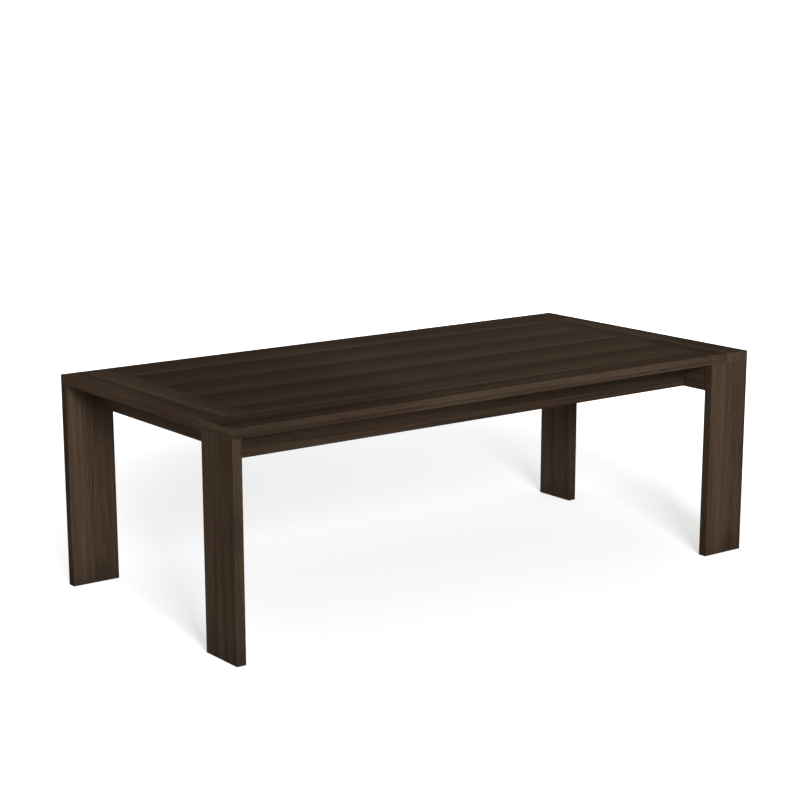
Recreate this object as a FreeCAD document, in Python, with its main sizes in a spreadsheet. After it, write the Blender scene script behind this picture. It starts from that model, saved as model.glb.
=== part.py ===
import FreeCAD, Part
import os
import re
from collections import namedtuple

import Sketcher
from FreeCAD import Placement, Rotation, Vector

# Outdoor dining table: a framed plank top on four plank legs, with an apron set back under the top.
# Millimetres. +X runs along the table, +Y from front to back and +Z up. The origin lies on the floor
# below the middle of the top.
#
# The plan is a pinwheel of four arms. An arm is one frame board of the top, the plank leg below its
# through end and the apron that starts at that leg. In an arm's own axes x runs along it from its
# corner, y from the outer edge inwards and z up, so all four arms are drawn alike and then turned.

SIZES = (
    ("TableLength", 2206, "length of the top"),
    ("TableWidth", 1094, "width of the top"),
    ("TableHeight", 750, "floor to the top face"),
    ("BoardWidth", 179, "width of the frame boards and of the legs, cut from one stock"),
    ("TopThickness", 34, "thickness of the frame boards and the planks"),
    ("LegThickness", 34, "thickness of the legs"),
    ("EdgeRound", 1.5, "radius on the edges that hands meet"),
    ("SeamChamfer", 0.6, "chamfer beside the seams of the top"),
    ("PlankCount", 7, "planks in the field of the top"),
    ("SeamGap", 0.4, "open seam round each plank"),
    ("TongueLength", 8, "reach of a tongue into its groove"),
    ("TongueThickness", 8, "thickness of the tongues"),
    ("GrooveClearance", 0.2, "room round a tongue in its groove"),
    ("ApronHeight", 100, "height of the aprons"),
    ("ApronThickness", 28.5, "thickness of the aprons"),
    ("ApronSetback", 4, "from the inner edge of a leg to the apron's inner face"),
    ("TenonLength", 60, "length of the loose tenons"),
    ("TenonWidth", 50, "width of the loose tenons"),
    ("TenonThickness", 10, "thickness of the loose tenons"),
    ("TenonSpacing", 84, "between the middles of a joint's two tenons"),
    ("DowelDiameter", 10, "diameter of the dowels"),
    ("DowelLength", 36, "length of the dowels, half on each side of a joint"),
    ("ApronDowelSpacing", 60, "between the two dowels of an apron's end"),
    ("LegDowelSpacing", 80, "between the two dowels in a leg's top"),
    ("LegDowelWall", 12, "wood between a dowel in a leg's top and the loose tenon"),
    ("JointClearance", 0.2, "room for tenons, dowels and fasteners in their holes"),
    ("BoltDiameter", 8, "shank of the leg bolts"),
    ("BoltHeadWidth", 13, "leg bolt head across its flats"),
    ("BoltHeadHeight", 5.3, "leg bolt head"),
    ("BoltBite", 19, "bolt engaged in its insert"),
    ("BoltGrip", 40, "wood between the leg and the bolt's washer"),
    ("WasherDiameter", 16, "outside of the bolt washers"),
    ("WasherThickness", 1.6, "thickness of the bolt washers"),
    ("InsertDiameter", 12, "outside of the threaded inserts"),
    ("InsertLength", 22, "length of the threaded inserts"),
    ("PocketLength", 30, "pocket for a bolt head, along the apron"),
    ("PocketRoom", 1, "room round a bolt head and its washer in the pocket"),
    ("ScrewDiameter", 5, "shank of the wood screws"),
    ("ScrewHeadDiameter", 9.5, "wood screw head"),
    ("ScrewHeadHeight", 3.2, "wood screw head"),
    ("ScrewDriveWidth", 3, "square recess in a wood screw head"),
    ("ScrewDriveDepth", 2, "square recess in a wood screw head"),
    ("ScrewTip", 5, "pointed end of a wood screw"),
    ("ScrewBite", 20, "wood screw beyond the joint"),
    ("ScrewSink", 4, "depth of the screw heads below the battens' faces"),
    ("EndScrewCount", 3, "screws up through an end apron"),
    ("EndScrewSpacing", 250, "between the screws of an end apron"),
    ("BattenCount", 3, "cross battens under the planks"),
    ("BattenWidth", 60, "width of the cross battens"),
    ("BattenThickness", 32, "thickness of the cross battens"),
    ("HousingDepth", 8, "battens let into the long aprons"),
    ("BlockSide", 40, "corner blocks, along each apron"),
    ("BlockHeight", 80, "height of the corner blocks"),
    ("BlockChamfer", 16, "bevel on the free edge of a corner block"),
    ("BlockScrewSpacing", 40, "height between a corner block's two screws"),
    ("GlideDiameter", 24, "glides under the legs"),
    ("GlideHeight", 6, "height of the glides"),
    ("GlideProud", 1.5, "glides below the leg's end"),
    ("GlideSpacing", 120, "between a leg's two glides"),
    ("GlideScrewDiameter", 4, "shank of the glide screws"),
    ("GlideScrewLength", 24, "shank of the glide screws above the head"),
    ("GlideHeadDiameter", 8, "glide screw head"),
    ("GlideHeadHeight", 2.4, "glide screw head"),
    ("GlideHeadRecess", 1, "glide screw head above the floor"),
)

# Places that several pieces share, as expressions on the sheet of sizes.
UNDERSIDE = "(TableHeight - TopThickness)"
LEG_HEIGHT = f"({UNDERSIDE} - GlideProud)"
APRON_INNER = "(BoardWidth - ApronSetback)"
APRON_OUTER = f"({APRON_INNER} - ApronThickness)"
APRON_MIDDLE = f"({APRON_INNER} - ApronThickness / 2)"
FIELD_LENGTH = "(TableLength - 2 * BoardWidth)"
PLANK_LENGTH = f"({FIELD_LENGTH} - 2 * SeamGap)"
PLANK_WIDTH = "((TableWidth - 2 * BoardWidth - (PlankCount + 1) * SeamGap) / PlankCount)"
PLANK_PITCH = f"({PLANK_WIDTH} + SeamGap)"
TONGUE_REACH = "(TongueLength + SeamGap)"
TONGUE_LOW = "((TopThickness - TongueThickness) / 2)"
TONGUE_HIGH = "((TopThickness + TongueThickness) / 2)"
GROOVE_LOW = f"({TONGUE_LOW} - GrooveClearance)"
GROOVE_HIGH = f"({TONGUE_HIGH} + GrooveClearance)"
GROOVE_DEPTH = "(TongueLength + GrooveClearance)"
BATTEN_PITCH = f"({FIELD_LENGTH} / (BattenCount + 1))"
BATTEN_LENGTH = f"(TableWidth - 2 * {APRON_INNER} + 2 * HousingDepth)"
SCREW_GRIP = "(BattenThickness - ScrewSink)"
SCREW_HOLE = "(ScrewDiameter + JointClearance)"
BLOCK_FACE = f"({APRON_INNER} + BlockSide)"
BLOCK_SCREW = f"({APRON_INNER} + (BlockSide - BlockChamfer) / 2)"
BLOCK_SCREW_HIGH = "(BlockHeight / 2 + BlockScrewSpacing / 2)"
BLOCK_SCREW_LOW = "(BlockHeight / 2 - BlockScrewSpacing / 2)"
TENON_PLACES = [f"((BoardWidth - {GROOVE_DEPTH}) / 2 {sign} TenonSpacing / 2)" for sign in "-+"]
INNER_LEG_DOWEL = "(BoardWidth - TenonLength / 2 - LegDowelWall - DowelDiameter / 2)"
LEG_DOWEL_PLACES = [f"({INNER_LEG_DOWEL} - LegDowelSpacing)", INNER_LEG_DOWEL]
APRON_DOWEL_PLACES = [f"(ApronHeight / 2 {sign} ApronDowelSpacing / 2)" for sign in "-+"]
GLIDE_PLACES = [f"(BoardWidth / 2 {sign} GlideSpacing / 2)" for sign in "-+"]

SMALLEST_CUT = 1.0  # cubic millimetres; a cut that takes less has missed the wood
SAME_PLACE = 0.01  # millimetres; edges closer than this to a place lie on it

Arm = namedtuple("Arm", "side corner turn corner_x corner_y length")
ARMS = (
    Arm("front", "front_left", 0, "-TableLength / 2", "-TableWidth / 2", "TableLength"),
    Arm("right", "front_right", 90, "TableLength / 2", "-TableWidth / 2", "TableWidth"),
    Arm("back", "back_right", 180, "TableLength / 2", "TableWidth / 2", "TableLength"),
    Arm("left", "back_left", 270, "-TableLength / 2", "TableWidth / 2", "TableWidth"),
)

doc = FreeCAD.newDocument("outdoor_dining_table")
sheet = doc.addObject("Spreadsheet::Sheet", "Sizes")
for row, (alias, value, meaning) in enumerate(SIZES, start=1):
    sheet.set(f"A{row}", meaning)
    sheet.set(f"B{row}", str(value))
    sheet.setAlias(f"B{row}", alias)
doc.recompute()

pieces = []


def on_sheet(text):
    """The expression with every capitalised word read from the sheet."""
    return re.sub(r"\b[A-Z]\w+", lambda word: f"Sizes.{word.group()}", text)


def number(text):
    """The value of an expression now."""
    return float(sheet.evalExpression(text))


def bind(thing, **sizes):
    """Tie properties of a document object to expressions on the sheet."""
    for name, text in sizes.items():
        thing.setExpression(name, on_sheet(text))


def evenly(count, pitch, middle):
    """Expressions for a row of places at one pitch, centred on the middle."""
    total = round(number(count))
    return [f"({middle} + ({index} - {(total - 1) / 2}) * {pitch})" for index in range(total)]


def top_screw_places(arm):
    """Where the screws rise through an arm's apron, along the arm."""
    if arm.length == "TableLength":
        return evenly("BattenCount + 1", BATTEN_PITCH, f"{arm.length} / 2")
    return evenly("EndScrewCount", "EndScrewSpacing", f"{arm.length} / 2")


# Sketches and features

def new_body(label, x, y, z, turn=0):
    """A body at a bound place, turned about Z, that becomes a piece of the table."""
    body = doc.addObject("PartDesign::Body", label)
    body.Label = label
    body.Placement = Placement(Vector(), Rotation(Vector(0, 0, 1), turn))
    for axis, text in zip("xyz", (x, y, z)):
        body.setExpression(f"Placement.Base.{axis}", on_sheet(text))
    pieces.append(body)
    return body


def arm_body(label, arm, bottom):
    """A body drawn in an arm's own axes, with its sketch plane at the given height."""
    return new_body(label, arm.corner_x, arm.corner_y, bottom, arm.turn)


def new_sketch(body, role, level="0"):
    """A sketch parallel to one of the body's origin planes, at a level along its axis."""
    sketch = body.newObject("Sketcher::SketchObject", "Sketch")
    plane = next(item for item in body.Origin.OriginFeatures if item.Role == role)
    sketch.AttachmentSupport = [(plane, "")]
    sketch.MapMode = "FlatFace"
    offset = f"-({level})" if role == "XZ_Plane" else level
    sketch.setExpression("AttachmentOffset.Base.z", on_sheet(offset))
    return sketch


def tie(sketch, geometry, point, across, up):
    """Fix a point of the sketch at its distances from the sketch's origin."""
    for kind, text in (("DistanceX", across), ("DistanceY", up)):
        index = sketch.addConstraint(Sketcher.Constraint(kind, -1, 1, geometry, point, number(text)))
        sketch.setExpression(f"Constraints[{index}]", on_sheet(text))


def outline(sketch, corners):
    """A closed polygon whose corners are pairs of expressions."""
    first = sketch.GeometryCount
    points = [Vector(number(across), number(up), 0) for across, up in corners]
    for start, end in zip(points, points[1:] + points[:1]):
        sketch.addGeometry(Part.LineSegment(start, end), False)
    for index, (across, up) in enumerate(corners):
        following = first + (index + 1) % len(corners)
        sketch.addConstraint(Sketcher.Constraint("Coincident", first + index, 2, following, 1))
        tie(sketch, first + index, 1, across, up)


def rectangle(sketch, left, low, right, high):
    outline(sketch, [(left, low), (right, low), (right, high), (left, high)])


def circle(sketch, across, up, diameter):
    middle = Vector(number(across), number(up), 0)
    index = sketch.addGeometry(Part.Circle(middle, Vector(0, 0, 1), number(diameter) / 2), False)
    tie(sketch, index, 3, across, up)
    size = sketch.addConstraint(Sketcher.Constraint("Diameter", index, number(diameter)))
    sketch.setExpression(f"Constraints[{size}]", on_sheet(diameter))


def pad(body, sketch, length):
    feature = body.newObject("PartDesign::Pad", "Pad")
    feature.Profile = sketch
    bind(feature, Length=length)
    doc.recompute()


def aim_cut(body, feature, sketch, towards, before):
    """Point a cut along its axis, up (+1) or down (-1), and see that it takes wood away."""
    role = sketch.AttachmentSupport[0][0].Role
    feature.Reversed = (towards > 0) != (role == "XZ_Plane")
    doc.recompute()
    if not feature.Shape.Volume < before - SMALLEST_CUT:
        raise ValueError(f"{feature.Label} of {body.Label} cuts nothing")


def pocket(body, sketch, depth, towards):
    before = body.Shape.Volume
    feature = body.newObject("PartDesign::Pocket", "Pocket")
    feature.Profile = sketch
    bind(feature, Length=depth)
    aim_cut(body, feature, sketch, towards, before)


def screw_holes(body, sketch, sink, towards):
    """Through holes for the wood screws, counterbored so that the heads sit below the face."""
    doc.recompute()
    before = body.Shape.Volume
    feature = body.newObject("PartDesign::Hole", "Hole")
    feature.Profile = sketch
    feature.ThreadType = "None"
    feature.DepthType = "ThroughAll"
    feature.HoleCutType = "Counterbore"
    feature.HoleCutCustomValues = True
    bind(feature, Diameter=SCREW_HOLE, HoleCutDepth=sink)
    bind(feature, HoleCutDiameter="ScrewHeadDiameter + 2 * JointClearance")
    aim_cut(body, feature, sketch, towards, before)


def ease(body, kind, size, chosen):
    """Fillet or chamfer the edges of the body's own axes that the test picks."""
    base = body.Tip
    names = [f"Edge{index}" for index, edge in enumerate(base.Shape.Edges, start=1)
             if chosen(edge.BoundBox)]
    feature = body.newObject(f"PartDesign::{kind}", kind)
    feature.Base = (base, names)
    bind(feature, **{"Radius" if kind == "Fillet" else "Size": size})
    doc.recompute()


def near(value, text):
    return abs(value - number(text)) < SAME_PLACE


# Wooden pieces

def frame_board(arm):
    """A board of the top's frame, with its groove, mortises and the holes in its underside."""
    length = f"({arm.length} - BoardWidth)"
    board = arm_body(f"top_board_{arm.side}", arm, UNDERSIDE)

    plan = new_sketch(board, "XY_Plane")
    rectangle(plan, "0", "0", length, "BoardWidth")
    pad(board, plan, "TopThickness")

    ease(board, "Chamfer", "SeamChamfer", lambda box: near(box.ZMin, "TopThickness") and (
        near(box.YMin, "BoardWidth") or near(box.XMin, length)))
    ease(board, "Fillet", "EdgeRound", lambda box: near(box.YMax, "0") and not near(box.XMin, length)
         or near(box.XMax, "0") and box.YLength > box.ZLength)

    groove = new_sketch(board, "XZ_Plane", "BoardWidth")
    rectangle(groove, "BoardWidth", GROOVE_LOW, length, GROOVE_HIGH)
    pocket(board, groove, GROOVE_DEPTH, towards=-1)

    low = "((TopThickness - TenonThickness) / 2 - JointClearance)"
    high = "((TopThickness + TenonThickness) / 2 + JointClearance)"
    for role, level in (("XZ_Plane", "BoardWidth"), ("YZ_Plane", length)):
        mortises = new_sketch(board, role, level)
        for place in TENON_PLACES:
            half_width = "(TenonWidth / 2 + JointClearance)"
            rectangle(mortises, f"{place} - {half_width}", low, f"{place} + {half_width}", high)
        pocket(board, mortises, "TenonLength / 2 + JointClearance", towards=-1)

    dowel_holes = new_sketch(board, "XY_Plane")
    for place in LEG_DOWEL_PLACES:
        circle(dowel_holes, "LegThickness / 2", place, "DowelDiameter + JointClearance")
    pocket(board, dowel_holes, "DowelLength / 2 + JointClearance", towards=1)

    pilot_holes = new_sketch(board, "XY_Plane")
    for place in top_screw_places(arm):
        circle(pilot_holes, place, APRON_MIDDLE, SCREW_HOLE)
    pocket(board, pilot_holes, "ScrewBite + JointClearance", towards=1)


def field_plank(index, count):
    """A plank of the field: a tongue in front, a groove behind and tongues on both ends."""
    first_edge = "(BoardWidth + SeamGap - TableWidth / 2)"
    plank = new_body(f"field_plank_{index + 1}", f"SeamGap - {FIELD_LENGTH} / 2",
                     f"{first_edge} + {index} * {PLANK_PITCH}", UNDERSIDE)

    section = new_sketch(plank, "YZ_Plane")
    groove_floor = f"({PLANK_WIDTH} - {GROOVE_DEPTH})"
    back_edge = [(PLANK_WIDTH, GROOVE_LOW), (groove_floor, GROOVE_LOW),
                 (groove_floor, GROOVE_HIGH), (PLANK_WIDTH, GROOVE_HIGH)]
    end_tongue_back = groove_floor
    if index == count - 1:
        tongue_tip = f"({PLANK_WIDTH} + {TONGUE_REACH})"
        back_edge = [(PLANK_WIDTH, TONGUE_LOW), (tongue_tip, TONGUE_LOW),
                     (tongue_tip, TONGUE_HIGH), (PLANK_WIDTH, TONGUE_HIGH)]
        end_tongue_back = PLANK_WIDTH
    front_edge = [("0", TONGUE_HIGH), (f"-{TONGUE_REACH}", TONGUE_HIGH),
                  (f"-{TONGUE_REACH}", TONGUE_LOW), ("0", TONGUE_LOW)]
    outline(section, [("0", "0"), (PLANK_WIDTH, "0"), *back_edge,
                      (PLANK_WIDTH, "TopThickness"), ("0", "TopThickness"), *front_edge])
    pad(plank, section, PLANK_LENGTH)

    ease(plank, "Chamfer", "SeamChamfer", lambda box: near(box.ZMin, "TopThickness"))

    end_tongues = new_sketch(plank, "XY_Plane", TONGUE_LOW)
    rectangle(end_tongues, f"-{TONGUE_REACH}", "0", f"{PLANK_LENGTH} + {TONGUE_REACH}", end_tongue_back)
    pad(plank, end_tongues, "TongueThickness")

    pilot_holes = new_sketch(plank, "XY_Plane")
    for place in evenly("BattenCount", BATTEN_PITCH, f"{PLANK_LENGTH} / 2"):
        circle(pilot_holes, place, f"{PLANK_WIDTH} / 2", SCREW_HOLE)
    pocket(plank, pilot_holes, "ScrewBite + JointClearance", towards=1)


def plank_leg(arm):
    """A leg, drilled at its top for dowels, inside for the apron's end and below for the glides."""
    leg = arm_body(f"leg_{arm.corner}", arm, "GlideProud")

    plan = new_sketch(leg, "XY_Plane")
    rectangle(plan, "0", "0", "LegThickness", "BoardWidth")
    pad(leg, plan, LEG_HEIGHT)
    ease(leg, "Fillet", "EdgeRound", lambda box: not near(box.ZMin, LEG_HEIGHT))

    top_holes = new_sketch(leg, "XY_Plane", LEG_HEIGHT)
    for place in LEG_DOWEL_PLACES:
        circle(top_holes, "LegThickness / 2", place, "DowelDiameter + JointClearance")
    pocket(leg, top_holes, "DowelLength / 2 + JointClearance", towards=-1)

    apron_bottom = f"({LEG_HEIGHT} - ApronHeight)"
    side_holes = new_sketch(leg, "YZ_Plane", "LegThickness")
    for place in APRON_DOWEL_PLACES:
        circle(side_holes, APRON_MIDDLE, f"{apron_bottom} + {place}", "DowelDiameter + JointClearance")
    pocket(leg, side_holes, "DowelLength / 2 + JointClearance", towards=-1)

    insert_hole = new_sketch(leg, "YZ_Plane", "LegThickness")
    bolt_height = f"({apron_bottom} + ApronHeight / 2)"
    circle(insert_hole, APRON_MIDDLE, bolt_height, "InsertDiameter + JointClearance")
    pocket(leg, insert_hole, "max(InsertLength; BoltBite) + JointClearance", towards=-1)

    glide_seats = new_sketch(leg, "XY_Plane")
    screw_pilots = new_sketch(leg, "XY_Plane")
    for place in GLIDE_PLACES:
        circle(glide_seats, "LegThickness / 2", place, "GlideDiameter + JointClearance")
        circle(screw_pilots, "LegThickness / 2", place, "GlideScrewDiameter + JointClearance")
    pocket(leg, glide_seats, "GlideHeight - GlideProud", towards=1)
    screw_top = "(GlideHeadRecess + GlideHeadHeight + GlideScrewLength)"
    pocket(leg, screw_pilots, f"{screw_top} - GlideProud + JointClearance", towards=1)


def apron(arm):
    """An apron: its bolt pocket opens upwards, where the top covers it."""
    end = f"({arm.length} - {APRON_INNER})"
    rail = arm_body(f"apron_{arm.side}", arm, f"{UNDERSIDE} - ApronHeight")

    plan = new_sketch(rail, "XY_Plane")
    rectangle(plan, "LegThickness", APRON_OUTER, end, APRON_INNER)
    pad(rail, plan, "ApronHeight")
    ease(rail, "Fillet", "EdgeRound", lambda box: near(box.ZMax, "0") and box.XLength > box.YLength)

    dowel_hole = "DowelDiameter + JointClearance"
    dowel_depth = "DowelLength / 2 + JointClearance"
    for role, level, across, towards in (
            ("YZ_Plane", "LegThickness", APRON_MIDDLE, 1),
            ("YZ_Plane", end, APRON_MIDDLE, -1),
            ("XZ_Plane", APRON_INNER, APRON_MIDDLE, -1)):
        dowel_holes = new_sketch(rail, role, level)
        for place in APRON_DOWEL_PLACES:
            circle(dowel_holes, across, place, dowel_hole)
        pocket(rail, dowel_holes, dowel_depth, towards)

    head_pocket = new_sketch(rail, "XY_Plane", "ApronHeight")
    half_pocket = "(max(WasherDiameter; BoltHeadWidth * 2 / sqrt(3)) / 2 + PocketRoom)"
    pocket_start = "(LegThickness + BoltGrip)"
    rectangle(head_pocket, pocket_start, f"{APRON_MIDDLE} - {half_pocket}",
              f"{pocket_start} + PocketLength", f"{APRON_MIDDLE} + {half_pocket}")
    pocket(rail, head_pocket, f"ApronHeight / 2 + {half_pocket}", towards=-1)

    bolt_hole = new_sketch(rail, "YZ_Plane", "LegThickness")
    circle(bolt_hole, APRON_MIDDLE, "ApronHeight / 2", "BoltDiameter + 2 * JointClearance")
    pocket(rail, bolt_hole, "BoltGrip + PocketLength / 2", towards=1)

    screw_places = new_sketch(rail, "XY_Plane")
    for place in top_screw_places(arm):
        circle(screw_places, place, APRON_MIDDLE, SCREW_HOLE)
    screw_holes(rail, screw_places, f"ApronHeight - {SCREW_GRIP}", towards=1)

    block_bottom = "(ApronHeight - BlockHeight)"
    block_pilots = new_sketch(rail, "XZ_Plane", APRON_INNER)
    circle(block_pilots, BLOCK_SCREW, f"{block_bottom} + {BLOCK_SCREW_HIGH}", SCREW_HOLE)
    far_block_screw = f"({arm.length} - {BLOCK_SCREW})"
    circle(block_pilots, far_block_screw, f"{block_bottom} + {BLOCK_SCREW_LOW}", SCREW_HOLE)
    pocket(rail, block_pilots, "ScrewBite + JointClearance", towards=-1)

    if arm.length == "TableLength":
        housings = new_sketch(rail, "XZ_Plane", APRON_INNER)
        half_batten = "(BattenWidth / 2 + JointClearance)"
        floor = "(ApronHeight - BattenThickness - JointClearance)"
        for place in evenly("BattenCount", BATTEN_PITCH, f"{arm.length} / 2"):
            left, right = (f"({place} {sign} {half_batten})" for sign in "-+")
            rectangle(housings, left, floor, right, "ApronHeight")
        pocket(rail, housings, "HousingDepth + JointClearance", towards=-1)


def cross_batten(index, place):
    """A batten under the planks, let into the long aprons at both ends."""
    batten = new_body(f"cross_batten_{index + 1}", f"{place} - BattenWidth / 2",
                      f"-{BATTEN_LENGTH} / 2", f"{UNDERSIDE} - BattenThickness")
    plan = new_sketch(batten, "XY_Plane")
    rectangle(plan, "0", "0", "BattenWidth", BATTEN_LENGTH)
    pad(batten, plan, "BattenThickness")
    ease(batten, "Fillet", "EdgeRound", lambda box: near(box.ZMax, "0") and box.YLength > box.XLength)
    screw_places = new_sketch(batten, "XY_Plane")
    for along in evenly("PlankCount", PLANK_PITCH, f"{BATTEN_LENGTH} / 2"):
        circle(screw_places, "BattenWidth / 2", along, SCREW_HOLE)
    screw_holes(batten, screw_places, "ScrewSink", towards=1)


def corner_block(arm):
    """A block in the corner of two aprons, with one screw into each."""
    block = arm_body(f"corner_block_{arm.corner}", arm, f"{UNDERSIDE} - BlockHeight")
    plan = new_sketch(block, "XY_Plane")
    bevel_start = f"({BLOCK_FACE} - BlockChamfer)"
    outline(plan, [(APRON_INNER, APRON_INNER), (BLOCK_FACE, APRON_INNER), (BLOCK_FACE, bevel_start),
                   (bevel_start, BLOCK_FACE), (APRON_INNER, BLOCK_FACE)])
    pad(block, plan, "BlockHeight")
    for role, height in (("XZ_Plane", BLOCK_SCREW_HIGH), ("YZ_Plane", BLOCK_SCREW_LOW)):
        screw_place = new_sketch(block, role, BLOCK_FACE)
        circle(screw_place, BLOCK_SCREW, height, SCREW_HOLE)
        screw_holes(block, screw_place, f"BlockSide - {SCREW_GRIP}", towards=-1)


# Patterns for the repeated small pieces: each points along +Z, with its joint's plane at z = 0.

def cylinder(diameter, bottom, height):
    solid = doc.addObject("Part::Cylinder", "Cylinder")
    bind(solid, Radius=f"({diameter}) / 2", Height=height)
    solid.setExpression("Placement.Base.z", on_sheet(bottom))
    return solid


def joined(*solids):
    whole = doc.addObject("Part::MultiFuse", "Fusion")
    whole.Shapes = list(solids)
    return whole


def without(solid, tool):
    rest = doc.addObject("Part::Cut", "Cut")
    rest.Base = solid
    rest.Tool = tool
    return rest


def box(length, width, height, bottom):
    """A box centred on the Z axis."""
    solid = doc.addObject("Part::Box", "Box")
    bind(solid, Length=length, Width=width, Height=height)
    for axis, text in (("x", f"-({length}) / 2"), ("y", f"-({width}) / 2"), ("z", bottom)):
        solid.setExpression(f"Placement.Base.{axis}", on_sheet(text))
    return solid


def wood_screw():
    """A pan head with a square drive, a plain shank and a pointed tip."""
    under_head = f"-{SCREW_GRIP}"
    head_end = f"{under_head} - ScrewHeadHeight"
    head = cylinder("ScrewHeadDiameter", head_end, "ScrewHeadHeight")
    shank = cylinder("ScrewDiameter", under_head, f"{SCREW_GRIP} + ScrewBite - ScrewTip")
    tip = doc.addObject("Part::Cone", "Cone")
    bind(tip, Radius1="ScrewDiameter / 2", Height="ScrewTip")
    tip.Radius2 = 0
    tip.setExpression("Placement.Base.z", on_sheet("ScrewBite - ScrewTip"))
    drive = box("ScrewDriveWidth", "ScrewDriveWidth", "ScrewDriveDepth", head_end)
    return without(joined(head, shank, tip), drive)


def leg_bolt():
    """A hexagon bolt that runs through the apron's end into the leg's insert."""
    under_head = "-(BoltGrip + WasherThickness)"
    head = doc.addObject("Part::Prism", "Prism")
    head.Polygon = 6
    bind(head, Circumradius="BoltHeadWidth / sqrt(3)", Height="BoltHeadHeight")
    head.setExpression("Placement.Base.z", on_sheet(f"{under_head} - BoltHeadHeight"))
    shank = cylinder("BoltDiameter", under_head, "BoltGrip + WasherThickness + BoltBite")
    return joined(head, shank)


def ring(outside, bottom, height):
    """A washer or a sleeve round the bolt."""
    hole = cylinder("BoltDiameter + 2 * JointClearance", bottom, height)
    return without(cylinder(outside, bottom, height), hole)


def glide():
    """A plastic disc, counterbored from below for its screw."""
    disc = cylinder("GlideDiameter", "0", "GlideHeight")
    hole = cylinder("GlideScrewDiameter + JointClearance", "0", "GlideHeight")
    seat = cylinder("GlideHeadDiameter + 2 * JointClearance", "0", "GlideHeadRecess + GlideHeadHeight")
    return without(disc, joined(hole, seat))


def glide_screw():
    head = cylinder("GlideHeadDiameter", "GlideHeadRecess", "GlideHeadHeight")
    shank = cylinder("GlideScrewDiameter", "GlideHeadRecess + GlideHeadHeight", "GlideScrewLength")
    return joined(head, shank)


# Groups of identical small pieces

ALONG_X = Rotation(Vector(0, 0, 1), Vector(1, 0, 0))
BACK_X = Rotation(Vector(0, 0, 1), Vector(-1, 0, 0))
BACK_Y = Rotation(Vector(0, 0, 1), Vector(0, -1, 0))
UPWARDS = Rotation()


def on_arm(arm, x, y, z, aim=UPWARDS):
    """A place given in an arm's axes, with the way that the small piece points."""
    corner = Vector(number(arm.corner_x), number(arm.corner_y), 0)
    turned = Placement(corner, Rotation(Vector(0, 0, 1), arm.turn))
    return turned.multiply(Placement(Vector(number(x), number(y), number(z)), aim))


def group(label, pattern, places):
    """One node of separate solids: the pattern's shape at every place."""
    doc.recompute()
    copies = []
    for place in places:
        copy = pattern.Shape.copy()
        copy.Placement = place.multiply(copy.Placement)
        copies.append(copy)
    node = doc.addObject("Part::Feature", label)
    node.Label = label
    node.Shape = Part.makeCompound(copies)
    node.Placement = Placement()
    pieces.append(node)


def joinery():
    """Loose tenons of the top frame and the dowels of the legs and aprons."""
    middle = "(TableHeight - TopThickness / 2)"
    tenon = box("TenonThickness", "TenonWidth", "TenonLength", "-TenonLength / 2")
    group("frame_tenons", tenon, [
        on_arm(arm, f"{arm.length} - BoardWidth", place, middle, ALONG_X)
        for arm in ARMS for place in TENON_PLACES])

    dowel = cylinder("DowelDiameter", "-DowelLength / 2", "DowelLength")
    group("leg_dowels", dowel, [
        on_arm(arm, "LegThickness / 2", place, UNDERSIDE) for arm in ARMS for place in LEG_DOWEL_PLACES])
    group("apron_dowels", dowel, [
        on_arm(arm, end, APRON_MIDDLE, f"{UNDERSIDE} - ApronHeight + {place}", ALONG_X)
        for arm in ARMS for end in ("LegThickness", f"{arm.length} - {APRON_INNER}")
        for place in APRON_DOWEL_PLACES])


def bolts():
    """Bolt, washer and insert at each joint of a leg and its apron."""
    places = [on_arm(arm, "LegThickness", APRON_MIDDLE, f"{UNDERSIDE} - ApronHeight / 2", BACK_X)
              for arm in ARMS]
    group("leg_bolts", leg_bolt(), places)
    washer = ring("WasherDiameter", "-(BoltGrip + WasherThickness)", "WasherThickness")
    group("bolt_washers", washer, places)
    group("leg_inserts", ring("InsertDiameter", "0", "InsertLength"), places)


def screws():
    """The wood screws of the battens, the aprons and the corner blocks, all of one size."""
    screw = wood_screw()
    group("plank_screws", screw, [
        Placement(Vector(number(x), number(y), number(UNDERSIDE)), UPWARDS)
        for x in evenly("BattenCount", BATTEN_PITCH, "0")
        for y in evenly("PlankCount", PLANK_PITCH, "0")])
    group("top_screws", screw, [
        on_arm(arm, place, APRON_MIDDLE, UNDERSIDE) for arm in ARMS for place in top_screw_places(arm)])
    block_bottom = f"({UNDERSIDE} - BlockHeight)"
    group("block_screws", screw, [
        place for arm in ARMS for place in (
            on_arm(arm, BLOCK_SCREW, APRON_INNER, f"{block_bottom} + {BLOCK_SCREW_HIGH}", BACK_Y),
            on_arm(arm, APRON_INNER, BLOCK_SCREW, f"{block_bottom} + {BLOCK_SCREW_LOW}", BACK_X))])


def feet():
    """Two glides under each leg and the screws that hold them."""
    places = [on_arm(arm, "LegThickness / 2", place, "0") for arm in ARMS for place in GLIDE_PLACES]
    group("foot_glides", glide(), places)
    group("glide_screws", glide_screw(), places)


# The table

for arm in ARMS:
    frame_board(arm)
    plank_leg(arm)
    apron(arm)
    corner_block(arm)
plank_total = round(number("PlankCount"))
for index in range(plank_total):
    field_plank(index, plank_total)
for index, place in enumerate(evenly("BattenCount", BATTEN_PITCH, "0")):
    cross_batten(index, place)
joinery()
bolts()
screws()
feet()

doc.recompute()
for thing in doc.Objects:
    if {"Invalid", "Error"} & set(thing.State):
        raise RuntimeError(f"{thing.Label} failed: {thing.State}")
for piece in pieces:
    if piece.Shape.isNull() or not piece.Shape.isValid():
        raise RuntimeError(f"{piece.Label} has no valid shape")

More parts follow.
